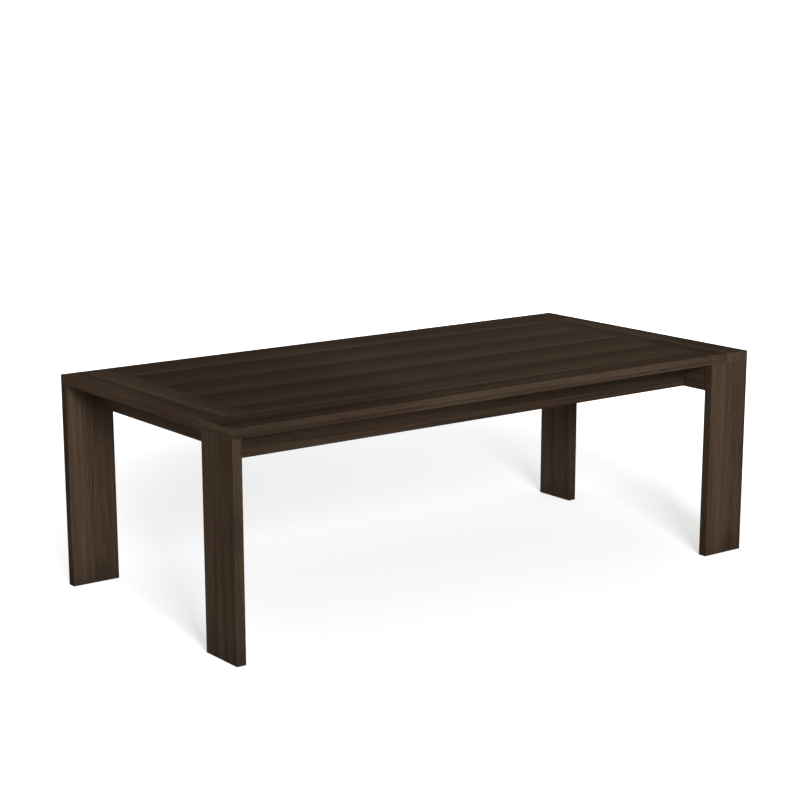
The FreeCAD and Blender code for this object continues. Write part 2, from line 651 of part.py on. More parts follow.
os.makedirs("parts", exist_ok=True)
for piece in pieces:
    piece.Shape.exportStep(f"parts/{piece.Label}.step")
    extent = piece.Shape.optimalBoundingBox(False)
    print(f"{piece.Label}: {len(piece.Shape.Solids)} solids, {piece.Shape.Volume / 1000:.1f} cm3, "
          f"{extent.XLength:.1f} x {extent.YLength:.1f} x {extent.ZLength:.1f} mm")
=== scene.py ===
# %% [markdown]
# An outdoor dining table in stained teak
#
# The table is a framed plank top on four plank legs, with aprons set back under the top. Every
# board, dowel and screw already exists as a solid of the right size, so this lesson adds what the
# solids lack: the wood, the metals and the plastic, the light and the camera. The shapes could be
# modelled a second time in Blender, but then two models would have to be kept alike. Loading the
# solids as a fixed frame keeps one truth about sizes.

import math

import bmesh
import bpy
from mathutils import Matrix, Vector


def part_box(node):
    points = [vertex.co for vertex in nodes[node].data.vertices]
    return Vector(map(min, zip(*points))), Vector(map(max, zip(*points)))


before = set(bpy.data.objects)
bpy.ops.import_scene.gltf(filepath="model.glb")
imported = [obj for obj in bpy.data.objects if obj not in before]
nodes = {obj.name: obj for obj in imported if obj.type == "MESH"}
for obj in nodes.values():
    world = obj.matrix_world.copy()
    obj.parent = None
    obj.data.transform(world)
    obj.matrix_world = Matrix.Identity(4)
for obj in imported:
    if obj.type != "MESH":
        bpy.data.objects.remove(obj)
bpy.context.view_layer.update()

# %% [markdown]
# Small helpers
#
# Colours are chosen on a screen, in sRGB, but a shader adds up light, so it needs linear values.
# One function turns the hex code of a colour into those. The second helper adds a node to a
# material: its settings are keywords, and each input takes either a value or the socket of an
# earlier node. That keeps a material readable from top to bottom, as a recipe. Patterns are sized
# in millimetres, and a texture wants to know how often they repeat in a metre.

# %% Colours, nodes and lengths
def linear(code):
    """An sRGB hex colour as linear red, green, blue and alpha."""
    channels = []
    for start in (1, 3, 5):
        part = int(code[start:start + 2], 16) / 255
        channels.append(part / 12.92 if part <= 0.04045 else ((part + 0.055) / 1.055) ** 2.4)
    return channels + [1]


def add(tree, kind, inputs, **settings):
    """A new node, with each input set to a value or linked from another node's socket."""
    node = tree.nodes.new("ShaderNode" + kind)
    for name, value in settings.items():
        setattr(node, name, value)
    for name, value in inputs.items():
        if isinstance(value, bpy.types.NodeSocket):
            tree.links.new(value, node.inputs[name])
        else:
            node.inputs[name].default_value = value
    return node


def per_metre(lengths):
    """How often a pattern with these lengths in millimetres repeats in a metre."""
    return [1000 / length for length in lengths]


print("a middle brown in linear light:", [round(part, 4) for part in linear("#3c3127")[:3]])

# %% [markdown]
# Materials and ramps
#
# Every material of the table starts as a Principled shader, the one that covers wood, metal and
# plastic alike. It could be set up by hand in the shader editor, but this table needs thirty
# materials, and a few lines make them all in the same way. A Color Ramp turns one number into a
# tone, so it serves both for the colours of the stain and for lighter and darker staves.

# %% Materials and ramps
def new_material(name):
    """A new material with its node tree and its Principled shader."""
    material = bpy.data.materials.new(name)
    material.use_nodes = True
    return material, material.node_tree, material.node_tree.nodes["Principled BSDF"]


def dress(node, material):
    """Give a node of the frame this material and no other."""
    nodes[node].data.materials.clear()
    nodes[node].data.materials.append(material)


def stops(ramp, pairs):
    """Give a Color Ramp these pairs of place and colour."""
    elements = ramp.color_ramp.elements
    while len(elements) < len(pairs):
        elements.new(1.0)
    for element, (place, colour) in zip(elements, pairs):
        element.position = place
        element.color = colour


print("ready to dress", len(nodes), "nodes")

# %% [markdown]
# Which way the grain runs
#
# A board is sawn along the trunk, so its grain follows its longest side, its growth layers cross
# its width, and its thickness is its shortest side. Sorting the three sides of a board's box
# therefore tells everything that the wood texture needs, and no board has to be described by hand.

# %% Grain axes
def grain_axes(node):
    """The axes along, across and through a board, as numbers 0, 1 or 2, and its box."""
    low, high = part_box(node)
    sides = high - low
    return sorted(range(3), key=lambda axis: -sides[axis]), low, high


for node in ("top_board_front", "top_board_left", "leg_front_left"):
    print(node, "runs along", "XYZ"[grain_axes(node)[0][0]])

# %% [markdown]
# Stained teak: the wood in space
#
# The boards are solid teak. A picture of wood could be wrapped round each board, but it would not
# meet at the edges. Here the wood fills space: each board cuts its own piece out of a trunk whose
# pith is the x axis, so streaks run over an edge and end as end grain, as in real wood. What the
# texture needs is where the middle of the board lay in the trunk, in metres, and how it leaned
# there. Far from the pith the growth rings cross the board as straight lines. Close to it, a board
# that leans a little is cut flat through the rings, and they show as arches.
#
# No trunk grows quite straight, so a slow noise bends the grain by a few millimetres, and a
# quicker one makes it shiver.

# %% Teak: coordinates in the trunk
DRIFT_MM = (700, 120, 120)
DRIFT_REACH = 0.006
SHIVER_MM = (90, 14, 14)
SHIVER_REACH = 0.0009
DRIFT_DETAIL = 2


def trunk(tree, node, lay, lean):
    """The point itself, its parts, and the point in the trunk: along, across and through."""
    axes, low, high = grain_axes(node)
    middle = (low + high) / 2
    place = add(tree, "TexCoord", {}).outputs["Object"]
    parts = add(tree, "SeparateXYZ", {"Vector": place}).outputs
    board = add(tree, "CombineXYZ", dict(zip("XYZ", (parts[axis] for axis in axes)))).outputs[0]
    centred = add(tree, "VectorMath", {0: board, 1: [middle[axis] for axis in axes]},
                  operation="SUBTRACT").outputs[0]
    wood = add(tree, "Mapping", {"Vector": centred, "Location": lay, "Rotation": lean}).outputs[0]
    for lengths, reach in ((DRIFT_MM, DRIFT_REACH), (SHIVER_MM, SHIVER_REACH)):
        slow = add(tree, "VectorMath", {0: wood, 1: per_metre(lengths)}, operation="MULTIPLY")
        inputs = {"Vector": slow.outputs[0], "Scale": 1, "Detail": DRIFT_DETAIL}
        drift = add(tree, "TexNoise", inputs).outputs["Color"]
        wood = add(tree, "VectorMath", {0: drift, 1: (0, 2 * reach, 2 * reach), 2: wood},
                   operation="MULTIPLY_ADD").outputs[0]
    return place, parts, wood


print(f"the grain drifts by {1000 * DRIFT_REACH} mm and shivers by {1000 * SHIVER_REACH} mm")

# %% [markdown]
# Stained teak: staves and painted light and shade
#
# A wide board is glued up from staves, and each stave takes the stain in its own way. Staves could
# be drawn as a random pattern, but here it is known where they lie. So every board has a few stops
# of lightness, in millimetres from its low edge, along it, across it and through its thickness. A
# Color Ramp draws each set of stops. Some stops paint light and shade instead: a painted shade
# towards the feet of the legs and on a narrow face of each leg, and painted light on the left end
# face of the top.

# %% Teak: staves and painted light and shade
DIRECTIONS = ("along", "across", "through")


def tone_from_stops(tree, parts, node, direction, pairs):
    """How light the stain lies, from stops along, across or through the board."""
    axes, low, high = grain_axes(node)
    axis = axes[DIRECTIONS.index(direction)]
    span = {"Value": parts[axis], "From Min": low[axis], "From Max": high[axis]}
    share = add(tree, "MapRange", span).outputs[0]
    ramp = add(tree, "ValToRGB", {"Fac": share}, label=direction)
    side = 1000 * (high[axis] - low[axis])
    stops(ramp, [(place / side, (level, level, level, 1)) for place, level in pairs])
    return ramp.outputs["Color"]


axes, low, high = grain_axes("top_board_front")
print("front board, mm:", [round(1000 * (high[axis] - low[axis])) for axis in axes], DIRECTIONS)

# %% [markdown]
# Stained teak: ends and edges
#
# Two places on a board differ from the rest. At its ends the saw cut across the fibres, and there
# growth rings and pores show instead of streaks. Along its edges, hands and cloths rub the stain
# thin. Blender's Pointiness finds edges, but only on a mesh with joined corners, and it changes
# with the mesh. A board is a box, so how near a point lies to the box's faces says it exactly: on
# a face one distance is nought, along an edge two are.

# %% Teak: ends and edges
END_REACH = 0.0012
EDGE_REACH = 0.0035


def nearness(tree, parts, node, axis, reach):
    """One at the board's two faces on this axis, falling to nought at a reach inside them."""
    low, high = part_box(node)
    middle = (low[axis] + high[axis]) / 2
    half = (high[axis] - low[axis]) / 2
    away = add(tree, "Math", {0: parts[axis], 1: middle}, operation="SUBTRACT").outputs[0]
    away = add(tree, "Math", {0: away}, operation="ABSOLUTE").outputs[0]
    span = {"Value": away, "From Min": half - reach, "From Max": half}
    return add(tree, "MapRange", span).outputs[0]


def edges(tree, parts, node):
    """One along the board's edges, where two of its faces are near, and nought elsewhere."""
    total = 0.0
    for axis in range(3):
        near = nearness(tree, parts, node, axis, EDGE_REACH)
        total = add(tree, "Math", {0: near, 1: total}, operation="ADD").outputs[0]
    return add(tree, "MapRange", {"Value": total, "From Min": 1.0, "From Max": 2.0}).outputs[0]


print(f"end grain reaches {1000 * END_REACH} mm in, worn edges {1000 * EDGE_REACH} mm")

# %% [markdown]
# Stained teak: mineral streaks
#
# Teak takes up minerals from the soil, and here and there they leave a dark streak or a dark patch
# in the wood. They could come from one more noise, but then nobody could say where. A ball,
# stretched along the grain until it is a streak, marks such a place.

# %% Teak: mineral streaks
STREAK_CORE = 0.3


def mineral_streak(tree, place, node, middle, reach, level):
    """The tone of one streak. Its middle and reach are in mm along, across and through."""
    axes, low, high = grain_axes(node)
    spot = [0.0, 0.0, 0.0]
    share = [0.0, 0.0, 0.0]
    for axis, distance, length in zip(axes, middle, reach):
        spot[axis] = low[axis] + distance / 1000
        share[axis] = 1000 / length
    away = add(tree, "VectorMath", {0: place, 1: spot}, operation="SUBTRACT").outputs[0]
    away = add(tree, "VectorMath", {0: away, 1: share}, operation="MULTIPLY").outputs[0]
    away = add(tree, "VectorMath", {0: away}, operation="LENGTH").outputs["Value"]
    fade = {"Value": away, "From Min": STREAK_CORE, "From Max": 1.0, "To Min": level, "To Max": 1.0}
    return add(tree, "MapRange", fade, interpolation_type="SMOOTHSTEP").outputs[0]


print(f"a streak is at its darkest over the inner {STREAK_CORE:.0%} of its reach")

# %% [markdown]
# Stained teak: the figure
#
# The eye sees long streaks a few millimetres wide, broader bands, growth rings that end in a thin
# dark line, fine fibres and short dark pores. One noise with much detail could stand for all of
# them, but wood has these few sizes and little between. So each is a noise of its own, stretched
# along the grain, and the rings are a saw wave round the pith. They add up to one number, the
# figure, and a ramp turns that into stain: thin and light where the wood is hard, dark where it
# drank. Here and there the stain turns from a reddish to an olive brown.
#
# Real pores and fibres are well under a millimetre wide, too fine for the picture, so they are
# drawn about four times as wide.

# %% Teak: sizes and colours
# Each layer has lengths in millimetres along, across and through the board, and a detail.
LAYERS = {
    "streak": ((650, 11, 42), 3),
    "band": ((1600, 40, 90), 2),
    "fibre": ((150, 1.2, 4), 1),
    "pore": ((40, 1.5, 4), 1),
    "hue": ((420, 30, 60), 1),
}
NOISE_ROUGHNESS = 0.6
RING_MM = 10
# A Wave texture of scale 1 has a ring every so many metres.
WAVE_LENGTH = 2 * math.pi / 20
FIGURE_SHARES = {"streak": 0.7, "band": 0.5, "fibre": 0.2}
RING_SHARE = 0.08
END_SHARES = {"ring": 0.2, "fibre": 0.5, "streak": 0.25}
STAIN = [(0.0, "#1d1711"), (0.3, "#2f261d"), (0.5, "#3d3228"), (0.7, "#4b3f34"), (1.0, "#625347")]
REDDISH = linear("#fff8f7")
OLIVE = linear("#fafef8")
HUE_RANGE = {"From Min": 0.4, "From Max": 0.6}
PORE_RANGE = {"From Min": 0.6, "From Max": 0.74}
print("growth rings every", RING_MM, "mm,", len(LAYERS), "noises and", len(STAIN), "tones of stain")


# %% Teak: layers
def wood_layers(tree, wood):
    """The noises and the growth rings that make up the figure, by name."""
    layers = {}
    for name, (lengths, detail) in LAYERS.items():
        spread = add(tree, "VectorMath", {0: wood, 1: per_metre(lengths)}, operation="MULTIPLY")
        inputs = {"Vector": spread.outputs[0], "Scale": 1, "Detail": detail,
                  "Roughness": NOISE_ROUGHNESS}
        layers[name] = add(tree, "TexNoise", inputs, label=name).outputs["Fac"]
    inputs = {"Vector": wood, "Scale": WAVE_LENGTH / (RING_MM / 1000)}
    layers["ring"] = add(tree, "TexWave", inputs, wave_type="RINGS", rings_direction="X",
                         wave_profile="SAW").outputs["Fac"]
    return layers


def weigh(tree, layers, shares):
    """The layers added up by their shares, round a mean of a half."""
    total = 0.5 - sum(shares.values()) / 2
    for name, share in shares.items():
        terms = {0: layers[name], 1: share, 2: total}
        total = add(tree, "Math", terms, operation="MULTIPLY_ADD").outputs[0]
    return total


print("shares on a face:", FIGURE_SHARES, "on an end:", END_SHARES)


# %% Teak: figure and stain
def teak_figure(tree, wood, bold, ends):
    """The figure of the wood from about 0 to 1, its pores, and the colour of its stain."""
    layers = wood_layers(tree, wood)
    shares = {name: bold * share for name, share in FIGURE_SHARES.items()}
    face_grain = weigh(tree, layers, shares | {"ring": RING_SHARE})
    end_grain = weigh(tree, layers, END_SHARES)
    figure = add(tree, "Mix", {"Factor": ends, "A": face_grain, "B": end_grain}).outputs["Result"]
    stain = add(tree, "ValToRGB", {"Fac": figure}, label="stain")
    stops(stain, [(place, linear(code)) for place, code in STAIN])
    turn = add(tree, "MapRange", {"Value": layers["hue"]} | HUE_RANGE).outputs[0]
    hue = add(tree, "Mix", {"Factor": turn, "A": REDDISH, "B": OLIVE}, data_type="RGBA")
    colour = add(tree, "VectorMath", {0: stain.outputs["Color"], 1: hue.outputs["Result"]},
                 operation="MULTIPLY").outputs[0]
    pores = add(tree, "MapRange", {"Value": layers["pore"]} | PORE_RANGE).outputs[0]
    return figure, pores, colour


print("the stain runs from", STAIN[0][1], "to", STAIN[-1][1])

# %% [markdown]
# Stained teak: the finish
#
# The stain is dark brown and soaks in, so the surface is matt and the open grain stays to be felt.
# Everything that lightens or darkens the stain is a factor: pores, ends, worn edges, staves,
# mineral streaks, and the painted light and shade that some boards carry. They could be mixed one
# over the other, but a product keeps each of them whole, whatever the others do. The figure that
# gives the colour also gives the bump and the roughness, so what looks like a pore also feels like
# one. Hardly any gloss is left, because at a low view even a faint one would wash out the top.

# %% Teak: how light the stain is
PORE_DEPTH = 0.72


def stain_depth(tree, node, place, parts, ends, pores, light=1.0, rub=0.0, end_light=1.0,
                even_ends=False, along=(), across=(), through=(), streaks=()):
    """How light the stain is: the board's tone, on some boards a painted light or shade, times the rest.
    """
    tones = [{"Value": pores, "To Min": light, "To Max": light * PORE_DEPTH},
             {"Value": ends, "To Min": 1.0, "To Max": end_light}]
    if rub:
        tones.append({"Value": edges(tree, parts, node), "To Min": 1.0, "To Max": 1.0 + rub})
    factors = [add(tree, "MapRange", tone).outputs[0] for tone in tones]
    for direction, pairs in zip(DIRECTIONS, (along, across, through)):
        if pairs:
            stops_factor = tone_from_stops(tree, parts, node, direction, pairs)
            if even_ends and direction == "across":
                evened = {"Factor": ends, "A": stops_factor, "B": 1.0}
                stops_factor = add(tree, "Mix", evened).outputs["Result"]
            factors.append(stops_factor)
    factors += [mineral_streak(tree, place, node, *streak) for streak in streaks]
    depth = 1.0
    for factor in factors:
        depth = add(tree, "Math", {0: factor, 1: depth}, operation="MULTIPLY").outputs[0]
    return depth


print("a pore keeps", PORE_DEPTH, "of the lightness around it")

# %% Teak: the material
PORE_RELIEF = -0.8
BUMP_STRENGTH = 0.35
BUMP_DEPTH = 0.0006
ROUGH_WHERE_DARK = 0.95
ROUGH_WHERE_LIGHT = 0.8
GLOSS = 0.0004


def stained_teak(node, lay, lean=(0, 0, 0), bold=1.0, **tones):
    """Dress one board in teak: where it lay in the trunk and how light the stain is over it."""
    # To the eye: dark brown and matt, with lighter streaks along the board and no sheen.
    material, tree, shader = new_material(f"stained_teak_{node}")
    place, parts, wood = trunk(tree, node, lay, lean)
    ends = nearness(tree, parts, node, grain_axes(node)[0][0], END_REACH)
    figure, pores, colour = teak_figure(tree, wood, bold, ends)
    depth = stain_depth(tree, node, place, parts, ends, pores, **tones)
    shown = add(tree, "VectorMath", {0: colour, "Scale": depth}, operation="SCALE").outputs[0]
    sunk = {0: pores, 1: PORE_RELIEF, 2: figure}
    relief = add(tree, "Math", sunk, operation="MULTIPLY_ADD").outputs[0]
    height = {"Height": relief, "Strength": BUMP_STRENGTH, "Distance": BUMP_DEPTH}
    bump = add(tree, "Bump", height).outputs[0]
    span = {"Value": figure, "To Min": ROUGH_WHERE_DARK, "To Max": ROUGH_WHERE_LIGHT}
    rough = add(tree, "MapRange", span).outputs[0]
    for name, socket in (("Base Color", shown), ("Roughness", rough), ("Normal", bump)):
        tree.links.new(socket, shader.inputs[name])
    shader.inputs["Specular IOR Level"].default_value = GLOSS
    dress(node, material)


print("relief of the grain:", 1000 * BUMP_DEPTH, "mm")

# %% [markdown]
# The planks of the top
#
# On this top the staves show as stripes along it: a lighter one starts with a sharp edge and fades
# towards the back, about every 200 mm, which is two planks. The stripes could be painted on the
# whole top at once, but then every plank would carry the same wood. Instead the planks take turns
# with two sets of stops, and each lies elsewhere in the trunk. All of them are darker towards the
# left end of the table.

# %% Field planks
PLANK_LAY = Vector((0, 0.21, 0.06))
PLANK_STEP = Vector((2.3, 0.05, 0))
PLANK_BOLD = 0.55
PLANK_LENGTHWISE = [(0, 0.75), (540, 0.82), (670, 1.0), (1840, 1.11)]
DARK_PLANK = [(0, 0.95), (42, 0.87), (105, 0.8)]
LIGHT_PLANK = [(0, 1.25), (50, 1.14), (105, 0.94)]
planks = sorted(name for name in nodes if name.startswith("field_plank"))
for index, plank in enumerate(planks):
    stained_teak(plank, PLANK_LAY + index * PLANK_STEP, bold=PLANK_BOLD, along=PLANK_LENGTHWISE,
                 across=LIGHT_PLANK if index % 2 else DARK_PLANK)
print("dressed", len(planks), "planks")

# %% [markdown]
# The frame of the top
#
# Four wide boards frame the planks, and each has staves of its own. They could share one set of
# stops, but a frame whose boards are all alike looks printed. The edge of the front board shows a
# lighter stave above a darker one, with two short mineral streaks near its right end. Its left end
# and the front end of the right board are cut across the fibres and took the stain lighter. The
# left end face of the top is lightened too, painted light.

# %% Front board
FRAME_BOLD = 0.7
BOARD_RUB = 0.15
FRONT_END_LIGHT = 2.05
FRONT_LENGTHWISE = [(0, 0.66), (420, 0.68), (660, 0.8), (790, 1.0), (1400, 1.12), (1800, 1.14),
                    (2027, 1.05)]
FRONT_STAVES = [(0, 1.08), (1.3, 1.08), (2.5, 0.9), (40, 0.87), (55, 0.8), (96, 0.8), (98, 1.12),
                (179, 1.06)]
FRONT_EDGE = [(0, 0.78), (6, 0.76), (9, 0.68), (13, 0.72), (17, 1.02), (34, 1.02)]
FRONT_STREAKS = [((1688, 0, 9.5), (46, 8, 3.5), 0.58), ((1779, 0, 9), (40, 8, 4), 0.42)]
stained_teak("top_board_front", lay=(0.4, 0.3, 0.03), bold=FRAME_BOLD, rub=BOARD_RUB,
             end_light=FRONT_END_LIGHT, even_ends=True, along=FRONT_LENGTHWISE,
             across=FRONT_STAVES, through=FRONT_EDGE, streaks=FRONT_STREAKS)
print("dressed the front board, with", len(FRONT_STREAKS), "mineral streaks")

# %% Back board
BACK_LENGTHWISE = [(0, 0.8), (500, 0.84), (750, 1.0), (2000, 1.04)]
BACK_STAVES = [(0, 1.34), (28, 1.14), (60, 0.95), (107, 0.91), (179, 0.84)]
stained_teak("top_board_back", lay=(7.1, 0.25, 0.05), bold=FRAME_BOLD, rub=BOARD_RUB,
             along=BACK_LENGTHWISE, across=BACK_STAVES)
print("dressed the back board")

# %% End boards
LEFT_LENGTHWISE = [(0, 0.85), (240, 0.85), (360, 0.96), (430, 1.04), (550, 1.08), (915, 1.1)]
# The first stops lighten the left end face of the top: painted light.
LEFT_STAVES_AND_PAINTED_LIGHT = [(0, 1.22), (1.3, 1.22), (2.5, 0.98), (20, 0.96), (23, 0.9), (73, 0.86), (75, 1.22),
               (115, 1.14), (140, 0.95), (179, 0.88)]
RIGHT_END_LIGHT = 1.28
RIGHT_LENGTHWISE = [(0, 0.86), (120, 0.79), (340, 0.82), (400, 1.05), (915, 1.03)]
RIGHT_STAVES = [(0, 1.0), (35, 0.95), (55, 0.85), (73, 0.8), (75, 1.24), (115, 1.16), (179, 1.0)]
stained_teak("top_board_left", lay=(3.3, 0.35, 0.04), bold=FRAME_BOLD, rub=BOARD_RUB,
             along=LEFT_LENGTHWISE, across=LEFT_STAVES_AND_PAINTED_LIGHT)
stained_teak("top_board_right", lay=(9.2, 0.28, 0.02), bold=FRAME_BOLD, rub=BOARD_RUB,
             end_light=RIGHT_END_LIGHT, along=RIGHT_LENGTHWISE, across=RIGHT_STAVES)
print("dressed the left and the right board")

# %% [markdown]
# The legs
#
# The legs are cut from the same stock as the frame boards, but flat, close to the pith, so their
# growth rings rise in arches towards one edge. Arches could be drawn as a pattern of their own, but
# in a trunk they come by themselves: the leg lies a short way from the pith and leans a little,
# which brings the pith closer at the foot. The stain darkens towards the feet, a painted shade
# where they stand on the floor, and a few mineral streaks mark the legs. The narrow face at the
# front of two legs and at the left of the other two is darker too, a painted shade. Two legs have
# their wide sides to the front and the back of the table, the other two to its left and right.

# %% Legs
ARCH_LEAN = (0, math.radians(-3), 0)
LEG_BOLD = 0.75
LEG_RUB = 0.2
# Painted shade: the legs darken towards the floor, where their feet stand in shade.
FOOT_SHADE = [(0, 0.74), (20, 0.8), (60, 0.92), (90, 0.97), (150, 1.02), (716, 1.01)]
# In both sets the first stops across darken the leg's narrow face at its low edge: a painted shade.
FACING_FRONT = {
    "across": [(0, 0.82), (1.3, 0.82), (2.5, 1.05), (20, 1.1), (45, 1.16), (55, 1.15), (80, 1.02),
               (110, 0.95), (140, 0.98), (179, 0.95)],
    "streaks": [((45, 112, 17), (75, 55, 40), 0.8), ((185, 124, 17), (90, 5, 40), 0.78),
                ((150, 138, 17), (80, 4, 40), 0.82)],
}
FACING_SIDE = {
    "across": [(0, 0.78), (1.3, 0.78), (2.5, 0.9), (20, 0.88), (60, 1.06), (90, 1.08), (120, 1.02),
               (150, 1.22), (179, 1.14)],
    "streaks": [((420, 12, 17), (95, 50, 40), 0.84)],
}
legs = {
    "leg_front_left": ((1.2, 0.03, 0.05), 1.0, FACING_SIDE),
    "leg_front_right": ((4.4, -0.04, 0.05), 1.0, FACING_FRONT),
    "leg_back_right": ((6.7, 0.03, 0.06), 1.06, FACING_SIDE),
    "leg_back_left": ((8.9, -0.04, 0.05), 1.01, FACING_FRONT),
}
for name, (lay, light, tones) in legs.items():
    stained_teak(name, lay, ARCH_LEAN, LEG_BOLD, light=light, rub=LEG_RUB, along=FOOT_SHADE, **tones)
print("dressed", len(legs), "legs")

# %% [markdown]
# Aprons and hidden wood
#
# The aprons, the battens under the planks and the corner blocks are the same teak from narrower
# stock, with no staves to be seen. They could all share one material, but then the same streak
# would run through the whole table. The front and the right apron are darkened, a painted shade
# under the overhang of the top, and the left one is lightened, painted light.

# %% Aprons, battens and corner blocks
BELOW_LAY = Vector((0, 0.17, 0.05))
BELOW_STEP = Vector((1.7, 0.03, 0))
# Painted shade on the front and right aprons, under the top's overhang; painted light on the left one.
APRON_PAINTED_LIGHT_AND_SHADE = {"apron_front": 0.69, "apron_left": 1.38, "apron_right": 0.74}
below = sorted(name for name in nodes if name.startswith(("apron_", "cross_batten", "corner_block")))
below.remove("apron_dowels")
for index, name in enumerate(below):
    stained_teak(name, BELOW_LAY + index * BELOW_STEP, rub=BOARD_RUB,
                 light=APRON_PAINTED_LIGHT_AND_SHADE.get(name, 1.0))
print("dressed", len(below), "pieces below the top")

# %% [markdown]
# Beech joinery
#
# The dowels and the loose tenons are beech: pale, pinkish, close-grained, and planed smooth. They
# hide in their holes, but a reader who takes the table apart will see them. Beech is known by its
# flecks, short brown dashes along the grain. The dowels lie in three directions in one mesh, so
# the flecks are drawn as small grains that look right from every side.

# %% A speckled surface
SPECKLE_DETAIL = 2
TONE_FROM = 0.3
TONE_TO = 0.7
GRAIN_BUMP = 0.3


def speckled(tree, dark, light, cloud_mm, grain_mm, grain_share):
    """A colour that drifts between two tones and carries a fine grain, and that grain."""
    place = add(tree, "TexCoord", {}).outputs["Object"]
    cloud, grain = [
        add(tree, "TexNoise", {"Vector": place, "Scale": scale, "Detail": SPECKLE_DETAIL}).outputs["Fac"]
        for scale in per_metre((cloud_mm, grain_mm))
    ]
    both = add(tree, "Mix", {"Factor": grain_share, "A": cloud, "B": grain}).outputs["Result"]
    ramp = add(tree, "ValToRGB", {"Fac": both})
    stops(ramp, [(TONE_FROM, linear(dark)), (TONE_TO, linear(light))])
    return ramp.outputs["Color"], grain


def finish_surface(tree, shader, colour, grain, smooth, rough, depth_mm):
    """Link a colour, and let its grain give the roughness and the bump."""
    span = {"Value": grain, "To Min": rough, "To Max": smooth}
    roughness = add(tree, "MapRange", span).outputs[0]
    height = {"Height": grain, "Strength": GRAIN_BUMP, "Distance": depth_mm / 1000}
    bump = add(tree, "Bump", height).outputs[0]
    for name, socket in (("Base Color", colour), ("Roughness", roughness), ("Normal", bump)):
        tree.links.new(socket, shader.inputs[name])


print("a speckled surface has two tones and one grain")

# %% Beech
FLECK_MM = 1.6
CLOUD_MM = 14
JOINERY = ("frame_tenons", "leg_dowels", "apron_dowels")
# To the eye: pale and pinkish, with fine brown flecks and a planed, half matt surface.
beech, tree, shader = new_material("planed_beech")
colour, grain = speckled(tree, "#b08a60", "#d6b48a", CLOUD_MM, FLECK_MM, grain_share=0.45)
finish_surface(tree, shader, colour, grain, smooth=0.5, rough=0.68, depth_mm=0.1)
shader.inputs["IOR"].default_value = 1.5
for name in JOINERY:
    dress(name, beech)
print(beech.name, "on", len(JOINERY), "nodes")

# %% [markdown]
# Fasteners of steel and brass
#
# Bolts, washers and screws are stainless steel, cold formed and tumbled clean, so they are grey,
# softly shiny and a little uneven. The inserts in the legs are turned brass. A metal has no colour
# under its surface: what is seen is the studio in it, blurred by the roughness. So both share one
# recipe with two tones each. Tumbling marks are about a tenth of a millimetre, too fine for the
# picture, and are drawn five times as large.

# %% Steel and brass
TUMBLE_MM = 0.5
TARNISH_MM = 6
# To the eye: cool grey steel and warm yellow brass, both with a soft, broken shine.
METALS = {
    "tumbled_stainless_steel": ("#a9abad", "#c9cbcc", ("leg_bolts", "bolt_washers", "plank_screws",
                                                       "top_screws", "block_screws", "glide_screws")),
    "turned_brass": ("#9c7a3c", "#c3a05c", ("leg_inserts",)),
}
for name, (dark, light, members) in METALS.items():
    metal, tree, shader = new_material(name)
    colour, grain = speckled(tree, dark, light, TARNISH_MM, TUMBLE_MM, grain_share=0.35)
    finish_surface(tree, shader, colour, grain, smooth=0.28, rough=0.46, depth_mm=0.03)
    shader.inputs["Metallic"].default_value = 1.0
    for member in members:
        dress(member, metal)
    print(name, "on", len(members), "nodes")

# %% [markdown]
# Nylon glides
#
# Under each foot sit two black glides of moulded nylon. The mould is spark eroded, which leaves a
# fine even grain, and use scuffs it. Nylon is waxy: a soft gloss over an almost black body. Plain
# black would do from afar, but up close it would look like a hole, so the grain stays.

# %% Nylon
MOULD_GRAIN_MM = 0.9
SCUFF_MM = 9
# To the eye: almost black, with a waxy sheen that the grain breaks up.
nylon, tree, shader = new_material("moulded_black_nylon")
colour, grain = speckled(tree, "#151516", "#272829", SCUFF_MM, MOULD_GRAIN_MM, grain_share=0.4)
finish_surface(tree, shader, colour, grain, smooth=0.42, rough=0.6, depth_mm=0.06)
shader.inputs["IOR"].default_value = 1.53
dress("foot_glides", nylon)
print(nylon.name, "on the foot glides")

# %% [markdown]
# Floor
#
# A product picture stands on a white floor that has no end. Lighting it to pure white would also
# flood the table with light. So only what the camera, a mirror or a pane of glass sees of the floor
# is made white: the Light Path node tells such a ray from the ones that carry light. The seen floor
# is a pale surface, which keeps the table's shadow, with a glow added to it. The glow is weak in an
# ellipse that lies along the shadows of the legs, and grows outwards from there, so that no edge
# shows where the floor ends.

# %% Floor
FLOOR_RADIUS = 6
FLOOR_SEGMENTS = 96
disc = bmesh.new()
bmesh.ops.create_circle(disc, cap_ends=True, segments=FLOOR_SEGMENTS, radius=FLOOR_RADIUS)
floor = bpy.data.objects.new("studio_floor", bpy.data.meshes.new("studio_floor"))
disc.to_mesh(floor.data)
disc.free()
bpy.context.scene.collection.objects.link(floor)
print("floor faces up:", floor.data.polygons[0].normal.z > 0)


# %% Seen rays
def seen_ray(tree):
    """One where the ray came from the camera, a gloss or a glass, and nought elsewhere."""
    path = add(tree, "LightPath", {}).outputs
    seen = path["Is Camera Ray"]
    for name in ("Is Glossy Ray", "Is Transmission Ray"):
        seen = add(tree, "Math", {0: seen, 1: path[name]}, operation="MAXIMUM").outputs[0]
    return seen


WHITE = linear("#ffffff")
print("white in linear light:", WHITE)

# %% Floor paint
FLOOR_BOUNCE = linear("#e6e6e6")
FLOOR_SHADE = (0.81, 0.81, 0.81, 1)
ELLIPSE = {"Location": (0.43, 0.63, 0), "Rotation": (0, 0, math.radians(-28)), "Scale": (1, 2.2, 1)}
GLOW = {"From Min": 0.77, "From Max": 2.2, "To Min": 0.345, "To Max": 1.0}
